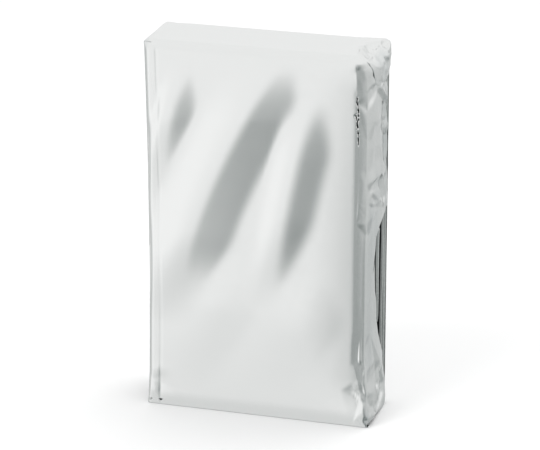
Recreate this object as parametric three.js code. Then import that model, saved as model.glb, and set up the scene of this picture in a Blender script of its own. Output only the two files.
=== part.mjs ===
// Folded emergency sleeping bag of silver film, standing as a pack.
// The bag is folded lengthwise into a strip of many plies. The strip runs up the back, over
// the top and down the front, and then back and forth between them until the pack is full.
// The solid is that one strip: a closed outline across its width, carried along its path.
// Millimetres. X runs across the front, Y from the front to the back, and Z up from the floor.

import * as THREE from "three";

// The pack at its edges, before its middle swells.
const WIDTH = 120;
const DEPTH = 39;
const HEIGHT = 200;

// The strip: its thickness with all its plies, and its layers from the front to the back.
const THICKNESS = 3;
const LAYERS = 11;
const HALF = THICKNESS / 2;
const PITCH = (DEPTH - THICKNESS) / (LAYERS - 1);
const CLEAR = PITCH - THICKNESS;

// The margin of fewer plies that turns round the right side, and the corners of the cover.
const FLAP_THICKNESS = 1.4;
const FLAP_BEND = 3;
const FLAP_CLEAR = 0.4;
const CORNER_RADIUS = 3;
const MITRE_GAP = 1;
const FLAP_FOOT = 3.6;
const BEND_ARC = (FLAP_BEND * Math.PI) / 2;
const BEND_START = WIDTH / 2 - FLAP_BEND - HALF;
const UNDER_FLAP = WIDTH / 2 - FLAP_THICKNESS - FLAP_CLEAR;

// The middle swells from front to back, and the left side is drawn in at half height.
const SWELL = 0.04;
const WAIST = 1.2;

// A plain layer ends in two short stretches, and its side edges wander in long waves.
const END_STRETCH = 2;
const WANDER_LENGTH = 17;
const WANDER_SHIFT = 2.3;

// How far the front margin reaches round the right side at each height, measured from the
// middle of the front layer, and how far its free end hangs below that height.
const FRONT_FLAP = [
  { height: 6, reach: 29, sag: 5 },
  { height: 14, reach: 28.5, sag: 3 },
  { height: 30, reach: 26, sag: 0 },
  { height: 55, reach: 21.5, sag: 0 },
  { height: 80, reach: 20.5, sag: 0 },
  { height: 103, reach: 20.5, sag: 0 },
  { height: 109, reach: 34, sag: 0 },
  { height: 135, reach: 34.5, sag: 0 },
  { height: 162.5, reach: 35, sag: 0 },
  { height: 178, reach: 35, sag: 0 },
  { height: 190, reach: 35, sag: 0 },
];

// One row for each layer from the front: how far its two side edges lie inside the pack, and
// how deep those edges wander on their way up.
const EDGES = [
  { left: 0, right: 0, wander: 0 },
  { left: 1.2, right: 0.7, wander: 0.4 },
  { left: 0.4, right: 0.2, wander: 0.3 },
  { left: 1.6, right: 0.9, wander: 0.5 },
  { left: 0.6, right: 0.1, wander: 0.4 },
  { left: 1.1, right: 0.8, wander: 0.5 },
  { left: 0.3, right: 0.3, wander: 0.3 },
  { left: 1.8, right: 1.1, wander: 0.6 },
  { left: 0.7, right: 0.2, wander: 0.4 },
  { left: 1.3, right: 1.4, wander: 0.6 },
  { left: 0, right: 0.3, wander: 0.1 },
];

// One row for each fold inside the pack, from the front: how far it stops short of the floor,
// or of the cover where it is a fold at the top.
const FOLDS = [
  { short: 0 },
  { short: 0.4 },
  { short: 0 },
  { short: 1.8 },
  { short: 0 },
  { short: 0.9 },
  { short: 0 },
  { short: 2.2 },
  { short: 0 },
];
const LAST_EDGE_SHORT = 7;

// How the turned margin is cut short, at the corners of the cover and at its foot.
const CORNER_CUT = { arc: 3, turn: Math.PI / 6, run: 0.6 };
const FOOT_CUT = { arc: 4.6, turn: Math.PI / 2, run: 0.2 };

// Edges of the pack that are pressed round: the two axes across the edge, where it lies on
// them and its radius.
const ROUNDED_EDGES = [
  { axes: ["x", "y"], at: [WIDTH / 2, -DEPTH / 2], radius: 6 },
  { axes: ["x", "y"], at: [-WIDTH / 2, -DEPTH / 2], radius: 3 },
  { axes: ["x", "y"], at: [WIDTH / 2, DEPTH / 2], radius: 3 },
  { axes: ["x", "y"], at: [-WIDTH / 2, DEPTH / 2], radius: 3 },
  { axes: ["x", "z"], at: [WIDTH / 2, HEIGHT], radius: 5 },
  { axes: ["x", "z"], at: [-WIDTH / 2, HEIGHT], radius: 2.5 },
  { axes: ["y", "z"], at: [DEPTH / 2, HEIGHT], radius: 2.5 },
];

// Steps of the mesh: heights on the layers inside, places across the width, and turns.
const INSIDE_HEIGHTS = [28, 64, 103, 109, 152];
const TOP_DEPTHS = [14, 7, 0, -7, -11];
const ACROSS = [0, 0.07, 0.28, 0.52, 0.76, 1];
const BEND_STEPS = 3;
const RUN_STEPS = 3;
const FOLD_STEPS = 5;
const CORNER_STEPS = 3;
const END_STEPS = 3;

const layerY = (layer) => -DEPTH / 2 + HALF + layer * PITCH;
const mix = (a, b, t) => a + (b - a) * t;
const FRONT_Y = layerY(0);
const BACK_Y = layerY(LAYERS - 1);
const COVER_Z = HEIGHT - HALF;

// Reads a column of a table of heights, in straight lines between its rows.
function atHeight(rows, column, z) {
  const next = rows.findIndex((row) => row.height >= z);
  if (next < 0) return rows[rows.length - 1][column];
  if (next === 0) return rows[0][column];
  const [low, high] = [rows[next - 1], rows[next]];
  return mix(low[column], high[column], (z - low.height) / (high.height - low.height));
}

// Side edges of the strip at a depth counted in layers, which a fold passes in between.
function sideEdges(depth, z) {
  const low = Math.min(Math.floor(depth), LAYERS - 2);
  const [a, b] = [EDGES[low], EDGES[low + 1]];
  const share = depth - low;
  const wave = Math.sin(z / WANDER_LENGTH + depth * WANDER_SHIFT);
  const wander = mix(a.wander, b.wander, share) * Math.abs(wave);
  const flapEnd = FRONT_Y + atHeight(FRONT_FLAP, "reach", z) + FLAP_THICKNESS / 2;
  const past = layerY(depth) - HALF - flapEnd - FLAP_CLEAR;
  const outside = depth < 1 ? 1 - depth : THREE.MathUtils.clamp(past, 0, 1);
  return {
    left: -WIDTH / 2 + mix(a.left, b.left, share) + wander,
    right: mix(UNDER_FLAP, WIDTH / 2, outside) - mix(a.right, b.right, share) - wander,
  };
}

// The margin of a plain layer: its last stretch before the right edge, with no turn.
function plainMargin(depth, z) {
  const { left, right } = sideEdges(depth, z);
  const start = right - HALF - 2 * END_STRETCH;
  return { left, start, arc: END_STRETCH, turn: 0, run: END_STRETCH, sag: 0, thin: 0 };
}

// The margin of the cover where it turns round the right side and reaches inwards.
function turnedMargin(reach, sag = 0) {
  return {
    left: -WIDTH / 2,
    start: BEND_START,
    arc: BEND_ARC,
    turn: Math.PI / 2,
    run: reach - FLAP_BEND,
    sag,
    thin: 1,
  };
}

// The margin where a turned one ends: it is cut short as its bend begins or ends.
function shortMargin(cut) {
  return { left: -WIDTH / 2, start: BEND_START, sag: 0, thin: 1, ...cut };
}

// One place on the path: a point on the strip's middle and the way to the pack's inside.
function place(y, z, heading, margin) {
  return { y, z, inY: -Math.sin(heading), inZ: Math.cos(heading), margin };
}

const UP = Math.PI / 2;
const FORWARD = Math.PI;
const DOWN = (3 * Math.PI) / 2;

// Places round a turn of the path, its two ends included.
function turn(centre, radius, from, to, steps, marginAt) {
  const side = Math.sign(to - from);
  return Array.from({ length: steps + 1 }, (_, i) => {
    const heading = mix(from, to, i / steps);
    const y = centre.y + side * radius * Math.sin(heading);
    const z = centre.z - side * radius * Math.cos(heading);
    return place(y, z, heading, marginAt(i / steps, z));
  });
}

// A fold between two layers, with a flat facet where it reaches the floor or the cover.
function fold(layer) {
  const radius = PITCH / 2;
  const tip = (radius + HALF) * Math.cos(Math.PI / 2 / FOLD_STEPS);
  const atFloor = layer % 2 === 0;
  const { short } = FOLDS[layer];
  const centre = {
    y: layerY(layer + 0.5),
    z: atFloor ? short + tip : COVER_Z - HALF - CLEAR - short - tip,
  };
  const [from, to] = atFloor ? [DOWN, DOWN + Math.PI] : [UP, UP - Math.PI];
  return turn(centre, radius, from, to, FOLD_STEPS, (share, z) =>
    plainMargin(layer + share, z),
  );
}

// The path of the strip, from its end at the foot of the back to its end inside the pack.
function stripPath() {
  const path = [place(BACK_Y, 0, UP, plainMargin(LAYERS - 1, 0))];
  for (const z of INSIDE_HEIGHTS) {
    path.push(place(BACK_Y, z, UP, plainMargin(LAYERS - 1, z)));
  }
  const corner = { y: BACK_Y - CORNER_RADIUS, z: COVER_Z - CORNER_RADIUS };
  path.push(
    ...turn(corner, CORNER_RADIUS, UP, FORWARD, CORNER_STEPS, (share) =>
      share ? shortMargin(CORNER_CUT) : plainMargin(LAYERS - 1, corner.z),
    ),
  );
  for (const y of TOP_DEPTHS) {
    path.push(place(y, COVER_Z, FORWARD, turnedMargin(y - FRONT_Y - MITRE_GAP)));
  }
  corner.y = FRONT_Y + CORNER_RADIUS;
  path.push(
    ...turn(corner, CORNER_RADIUS, FORWARD, DOWN, CORNER_STEPS, () => shortMargin(CORNER_CUT)),
  );
  for (const row of [...FRONT_FLAP].reverse()) {
    const reach = Math.min(row.reach, COVER_Z - row.height - MITRE_GAP);
    path.push(place(FRONT_Y, row.height, DOWN, turnedMargin(reach, row.sag)));
  }
  path.push(place(FRONT_Y, FLAP_FOOT, DOWN, shortMargin(FOOT_CUT)));
  path.push(...fold(0));
  for (let layer = 1; layer < LAYERS - 1; layer++) {
    const heights = layer % 2 ? INSIDE_HEIGHTS : [...INSIDE_HEIGHTS].reverse();
    const heading = layer % 2 ? UP : DOWN;
    for (const z of heights) {
      path.push(place(layerY(layer), z, heading, plainMargin(layer, z)));
    }
    if (layer < LAYERS - 2) path.push(...fold(layer));
  }
  const endZ = COVER_Z - HALF - CLEAR - LAST_EDGE_SHORT;
  path.push(place(layerY(LAYERS - 2), endZ, UP, plainMargin(LAYERS - 2, endZ)));
  return path;
}

// Points across the strip, from the left edge to the free right edge: the middle of the
// strip (x, n), with n inwards, its slope, how far it lies down the run and its thinning.
function acrossStrip({ left, start, arc, turn: angle, run, thin }) {
  const points = ACROSS.map((share) => ({
    x: mix(left + HALF, start, share),
    n: 0,
    slope: 0,
    down: 0,
    thin: 0,
  }));
  for (let i = 1; i <= BEND_STEPS; i++) {
    const share = i / BEND_STEPS;
    const slope = angle * share;
    const radius = angle ? arc / angle : 0;
    points.push({
      x: start + (angle ? radius * Math.sin(slope) : arc * share),
      n: radius * (1 - Math.cos(slope)),
      slope,
      down: 0,
      thin: thin * share,
    });
  }
  const bend = points[points.length - 1];
  for (let i = 1; i <= RUN_STEPS; i++) {
    const share = i / RUN_STEPS;
    points.push({
      x: bend.x + Math.cos(angle) * run * share,
      n: bend.n + Math.sin(angle) * run * share,
      slope: angle,
      down: share,
      thin,
    });
  }
  return points;
}

// The closed outline of the strip in (x, n): out along the outer face, round the right
// edge, back along the inner face and round the left edge.
function stripOutline(margin) {
  const middles = acrossStrip(margin);
  const inner = ({ thin }) => mix(HALF, FLAP_THICKNESS - HALF, thin);
  const shift = (point, out, along = 0) => ({
    x: point.x + out * Math.sin(point.slope) + along * Math.cos(point.slope),
    n: point.n - out * Math.cos(point.slope) + along * Math.sin(point.slope),
    down: point.down,
  });
  const roundEnd = (point, way) => {
    const middle = (HALF - inner(point)) / 2;
    const radius = (HALF + inner(point)) / 2;
    return Array.from({ length: END_STEPS - 1 }, (_, i) => {
      const angle = (Math.PI * (i + 1)) / END_STEPS;
      return shift(point, middle + way * radius * Math.cos(angle), way * radius * Math.sin(angle));
    });
  };
  return [
    ...middles.map((point) => shift(point, HALF)),
    ...roundEnd(middles[middles.length - 1], 1),
    ...[...middles].reverse().map((point) => shift(point, -inner(point))),
    ...roundEnd(middles[0], -1),
  ];
}

// Presses an edge of the pack round: a square beside the edge becomes a quarter disc.
function pressRound(point, { axes: [a, b], at, radius }) {
  const [wayA, wayB] = at.map(Math.sign);
  const inA = (wayA * point[a] - Math.abs(at[0])) / radius + 1;
  const inB = (wayB * point[b] - Math.abs(at[1])) / radius + 1;
  if (inA <= 0 || inB <= 0) return;
  point[a] += wayA * radius * inA * (Math.sqrt(1 - inB ** 2 / 2) - 1);
  point[b] += wayB * radius * inB * (Math.sqrt(1 - inA ** 2 / 2) - 1);
}

// The pack as it stands: rounded edges, a swollen middle and a waist on its left side.
function settle(point) {
  for (const edge of ROUNDED_EDGES) pressRound(point, edge);
  const across = 1 - (point.x / (WIDTH / 2)) ** 2;
  const upward = 1 - (point.z / (HEIGHT / 2) - 1) ** 2;
  point.y *= 1 + SWELL * Math.max(across, 0) * Math.max(upward, 0);
  if (point.x < 0) point.x *= 1 - (WAIST / (WIDTH / 2)) * Math.max(upward, 0);
  return point;
}

// The strip's geometry: a ring of points at each place on the path, and a cap at each end.
function stripGeometry(path) {
  const positions = [];
  const faces = [];
  const outlines = path.map(({ margin }) => stripOutline(margin));
  const size = outlines[0].length;
  path.forEach(({ y, z, inY, inZ, margin }, i) => {
    for (const { x, n, down } of outlines[i]) {
      const point = new THREE.Vector3(x, y + n * inY, z + n * inZ - margin.sag * down);
      positions.push(...settle(point).toArray());
    }
  });
  for (let ring = 0; ring < path.length - 1; ring++) {
    for (let i = 0; i < size; i++) {
      const a = ring * size + i;
      const b = ring * size + ((i + 1) % size);
      faces.push(a, b + size, b, a, a + size, b + size);
    }
  }
  const cap = (outline) =>
    THREE.ShapeUtils.triangulateShape(
      outline.map(({ x, n }) => new THREE.Vector2(x, n)),
      [],
    );
  const last = (path.length - 1) * size;
  for (const [a, b, c] of cap(outlines[0])) faces.push(a, b, c);
  for (const [a, b, c] of cap(outlines.at(-1))) faces.push(last + a, last + c, last + b);
  const geometry = new THREE.BufferGeometry();
  geometry.setAttribute("position", new THREE.Float32BufferAttribute(positions, 3));
  geometry.setIndex(faces);
  geometry.computeVertexNormals();
  return geometry;
}

const silverFilm = new THREE.MeshStandardMaterial({
  name: "silver_film",
  color: 0xd3d6d6,
  metalness: 0.9,
  roughness: 0.3,
});

const foldedBag = new THREE.Mesh(stripGeometry(stripPath()), silverFilm);
foldedBag.name = "folded_bag";

const pack = new THREE.Group();
pack.name = "folded_emergency_sleeping_bag";
pack.add(foldedBag);

export default pack;
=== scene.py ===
# Folded emergency sleeping bag of silver film, standing as a pack.
# The bag is a long strip of film plies that is folded back and forth. Its outer ply wraps the
# back, the top and the front as a smooth cover, and its margin turns round the right side.
# Lengths are in millimetres until a mesh is made: X across the front, Y to the back, Z up.

import math

import bmesh
import bpy
import numpy as np
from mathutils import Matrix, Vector
from mathutils.geometry import delaunay_2d_cdt


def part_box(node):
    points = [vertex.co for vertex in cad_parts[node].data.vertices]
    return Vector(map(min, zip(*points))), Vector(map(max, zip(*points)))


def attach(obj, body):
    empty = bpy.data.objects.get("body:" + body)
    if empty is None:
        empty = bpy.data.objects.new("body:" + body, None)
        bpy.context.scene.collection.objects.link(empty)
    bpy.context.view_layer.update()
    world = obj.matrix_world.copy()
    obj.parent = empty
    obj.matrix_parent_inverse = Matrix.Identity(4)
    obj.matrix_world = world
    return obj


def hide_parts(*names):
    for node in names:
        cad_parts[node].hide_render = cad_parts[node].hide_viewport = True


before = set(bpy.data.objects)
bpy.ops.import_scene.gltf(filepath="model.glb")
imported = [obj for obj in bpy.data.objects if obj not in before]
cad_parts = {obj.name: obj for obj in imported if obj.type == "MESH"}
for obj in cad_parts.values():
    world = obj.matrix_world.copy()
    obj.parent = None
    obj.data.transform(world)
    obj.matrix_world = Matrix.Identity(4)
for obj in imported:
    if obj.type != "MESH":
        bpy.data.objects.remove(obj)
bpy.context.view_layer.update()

MM = 0.001
NODE = "folded_bag"

# The pack at its edges, from the frame, and how its middle swells and its left side draws in.
SWELL = 0.04
WAIST = 1.2
PACK_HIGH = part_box(NODE)[1]
WIDTH = 2 * PACK_HIGH.x / MM
DEPTH = 2 * PACK_HIGH.y / MM / (1 + SWELL)
HEIGHT = PACK_HIGH.z / MM
RIGHT, FRONT, BACK = WIDTH / 2, -DEPTH / 2, DEPTH / 2

# The strip: its thickness, its layers from the front to the back, and the plies in a layer.
THICKNESS = 3
LAYERS = 11
PLIES = 4
HALF = THICKNESS / 2
PITCH = (DEPTH - THICKNESS) / (LAYERS - 1)
CLEAR = PITCH - THICKNESS
FRONT_Y = FRONT + HALF
BACK_Y = BACK - HALF
COVER_Z = HEIGHT - HALF

# Film: the thickness of a ply, the turn at a folded edge and how far it goes back under, and
# the same two for the narrower edge of the tuck.
FILM = 0.16
EDGE_TURN = 0.3
EDGE_RETURN = 4.0
TUCK_TURN = 0.2
TUCK_RETURN = 1.6

# The cover's place on the strip: how far it goes in under the foot, where it turns and ends,
# and how much of the strip a quarter turn of it takes up, against the turn's radius.
FOOT_RETURN = 5.0
TOP_START = HEIGHT
BACK_START = HEIGHT + DEPTH
COVER_END = 2 * HEIGHT + DEPTH
QUARTER_SHARE = 0.8

# Over which length the cover's way out turns from one face to the next.
FOOT_BEND = 2
EDGE_BEND = 4

# The least height of the cover, and how near a place has to be to count as on a line.
FLOOR_GAP = 0.02
TOUCH = 0.01

# How far the front margin reaches round the right side at each height, and how far its free
# end hangs below that height. It starts a little above the floor. Its end has small waves
# along the slot and stands out in longer ones.
FRONT_MARGIN = [
    {"height": 2, "reach": 33, "hang": 3},
    {"height": 14, "reach": 35.5, "hang": 3},
    {"height": 25, "reach": 33.5, "hang": 2},
    {"height": 31, "reach": 31, "hang": 0},
    {"height": 38, "reach": 25.4, "hang": 0},
    {"height": 45, "reach": 21.8, "hang": 0},
    {"height": 60, "reach": 19, "hang": 0},
    {"height": 70, "reach": 17, "hang": 0},
    {"height": 100, "reach": 16.5, "hang": 0},
    {"height": 106, "reach": 22, "hang": 1},
    {"height": 111, "reach": 36.4, "hang": 2},
    {"height": 135, "reach": 36.8, "hang": 0},
    {"height": 160, "reach": 38, "hang": 0},
    {"height": 192, "reach": 38.4, "hang": 0},
    {"height": 200, "reach": 26, "hang": 0},
]
MARGIN_FOOT = 1.8
HANG_CLEAR = 0.4
SLOT_WAVE = {"depth": 0.3, "length": 3.1, "top": 104, "fade": 10}
END_WAVE = {"rise": 0.35, "length": 9.0, "from": 0.7, "run": 0.3}

# The tuck that hangs from the top over the right side: its depth at each place from the front.
# It lifts off the margin under it, sinks back a little, and has a full edge where it is deep.
TOP_TUCK = [
    {"back": 0, "depth": 0.8},
    {"back": 3, "depth": 4.5},
    {"back": 6, "depth": 10},
    {"back": 8, "depth": 15.6},
    {"back": 13, "depth": 17.6},
    {"back": 21, "depth": 18.4},
    {"back": 24, "depth": 17.4},
    {"back": 31, "depth": 13.6},
    {"back": 39, "depth": 11.6},
]
TUCK_LIFT = {"rise": 0.8, "run": 3, "sink": 0.3, "sink_from": 5, "sink_run": 5}
TUCK_FULL_EDGE = 4

# One row for each layer from the front: how far its side edges lie inside the pack, and how
# deep they wander on their way up, in waves of a share of that depth, a length and a phase.
EDGES = [
    {"left": 0, "right": 0, "wander": 0.2},
    {"left": 1.2, "right": 0.7, "wander": 0.7},
    {"left": 0.4, "right": 0.2, "wander": 0.5},
    {"left": 1.6, "right": 0.9, "wander": 0.8},
    {"left": 0.6, "right": 0.1, "wander": 0.6},
    {"left": 1.1, "right": 2.4, "wander": 0.8},
    {"left": 0.3, "right": 0.2, "wander": 0.4},
    {"left": 1.8, "right": 2.2, "wander": 0.9},
    {"left": 0.7, "right": 2.8, "wander": 0.6},
    {"left": 1.3, "right": 0.7, "wander": 0.6},
    {"left": 0.1, "right": 0.3, "wander": 0.2},
]
STRAY_MIDDLE = 0.5
STRAY_WAVES = [
    {"share": 0.26, "length": 21, "phase": 1},
    {"share": 0.16, "length": 7.3, "phase": 2.7},
    {"share": 0.08, "length": 3.1, "phase": 5},
]
STRAY_SEED = 11

# How far out the plies go at the right, under the margin and where nothing covers them, and
# how far in they keep inside the cover's left edge and at every edge. They begin to come out
# a little past the margin's end.
UNDER_MARGIN = RIGHT - 2.6
BARE_EDGE = RIGHT - 0.4
LEFT_INSET = 0.3
EDGE_INSET = 0.1
PAST_MARGIN = 0.2

# How far the plies lie in from the faces of their layer, more so under the cover, and the
# share of a dent of the cover that they follow.
PLY_INSET = 0.3
COVERED_INSET = 0.95
DENT_SHARE = 0.75

# The places across a ply, from its turn. It is puffed up at its turns, where film springs
# open, in waves up the pack that shift from layer to layer and from ply to ply.
PLY_STOPS = np.array([0.0, 0.9, 2.2, 6.0, 17.0, 37.0])
PUFF_REACH = 2.4
PUFF = {"middle": 0.16, "swing": 0.08, "length": 13, "by_layer": 1.9, "by_ply": 2.1}

# How the plies inside bunch and slip: they lean and bow to the front or the back, and sag.
LEANS = [
    {"depth": 0.88, "up": 27, "back": 7, "across": 38},
    {"depth": 0.4, "up": 11, "back": -5, "across": 13},
]
BOW = {"depth": 1.6, "up": 60, "across": 15, "reach": 46}
SAG = {"depth": 0.5, "back": 4, "across": 30}

# How far each fold inside stops short of the floor, or of the cover where it is at the top,
# how far the strip's two ends do, and the radius of its turns at the top.
FOLD_SHORT = [0, 0.4, 0, 1.8, 0, 0.9, 0, 2.2, 0]
LAST_EDGE_SHORT = 7
FIRST_EDGE_SHORT = 0.15
CORNER_RADIUS = 3

# Edges that are pressed round, first those of the cover alone, because the plies turn there by
# themselves, and then those of the whole pack: the two axes across the edge, where it lies on
# them, and its radius at two places along the third axis. ROUND_LEAST holds back the pull on
# points far outside the edge.
COVER_TURNS = [
    {"axes": (1, 2), "at": (FRONT, HEIGHT), "along": (0, 1), "radii": (4.8, 4.8)},
    {"axes": (1, 2), "at": (BACK, HEIGHT), "along": (0, 1), "radii": (4.0, 4.0)},
    {"axes": (1, 2), "at": (FRONT, 0), "along": (0, 1), "radii": (1.6, 1.6)},
]
ROUNDED_EDGES = [
    {"axes": (0, 1), "at": (RIGHT, FRONT), "along": (4, 44), "radii": (2.0, 9.0)},
    {"axes": (0, 1), "at": (-RIGHT, FRONT), "along": (0, 20), "radii": (1.4, 3.0)},
    {"axes": (0, 1), "at": (RIGHT, BACK), "along": (0, 1), "radii": (3.0, 3.0)},
    {"axes": (0, 1), "at": (-RIGHT, BACK), "along": (0, 1), "radii": (3.0, 3.0)},
    {"axes": (0, 2), "at": (RIGHT, HEIGHT), "along": (-2, 18), "radii": (9.0, 1.8)},
    {"axes": (0, 2), "at": (-RIGHT, HEIGHT), "along": (0, 1), "radii": (2.0, 2.0)},
    {"axes": (1, 2), "at": (BACK, HEIGHT), "along": (0, 1), "radii": (1.5, 1.5)},
]
ROUND_LEAST = 0.05

# Steps of the meshes: their lengths, and then how many go round a turn or down the tuck.
# Points nearer than WELD, in metres, become one.
FACE_STOPS = [
    {"at": -RIGHT, "step": 1.0},
    {"at": -55, "step": 0.5},
    {"at": -51, "step": 2.1},
    {"at": 44, "step": 1.2},
    {"at": 51.6, "step": 0.28},
    {"at": 54.8, "step": 0.7},
    {"at": RIGHT, "step": 0},
]
MARGIN_STEP = 0.62
FOOT_STEP = 0.7
MARGIN_FOOT_STEP = 0.75
FRONT_STEP = 1.0
TOP_STEP = 0.95
BACK_STEP = 2.2
PLY_STEP = 3.0
EDGE_STEPS = 4
TUCK_STEPS = 14
CORNER_STEPS = 6
FOLD_STEPS = 8
WELD = 2e-6

# Creases of the cover, placed on the flat sheet. u runs across it: -60 to 60 on the
# faces, and from 60 on round the right side. v runs along it: 0 to 200 up the front, 200 to
# 239 over the top and on down the back. These two are the sealed strip along the left edge,
# with half their width and their rise, outwards.
SEAL_CREASES = [
    {"line": [(-53, 1), (-52.7, 120), (-53, 219), (-53, 438)], "width": 1.3, "rise": -0.13},
    {"line": [(-56.6, 0), (-56.9, 219), (-56.6, 439)], "width": 2.4, "rise": 0.1},
]

# Ragged slits where the cover's right seal has split open, how wide they are, and the waves
# that make their edges ragged.
SPLITS = [
    {"line": [(53.1, 179), (52.7, 176.6), (53.5, 173.4), (53.9, 169.6)], "wide": 1.0},
    {"line": [(52.1, 169.4), (52.4, 167.6)], "wide": 0.8},
    {"line": [(53.8, 167.4), (52.8, 165.6), (53.4, 163.2)], "wide": 1.1},
    {"line": [(52.9, 162.6), (53.7, 160), (54, 154.4)], "wide": 0.8},
]
RAGGED = {"middle": 0.8, "swing": 0.5, "fine": 2.9, "coarse": 1.3}

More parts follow.
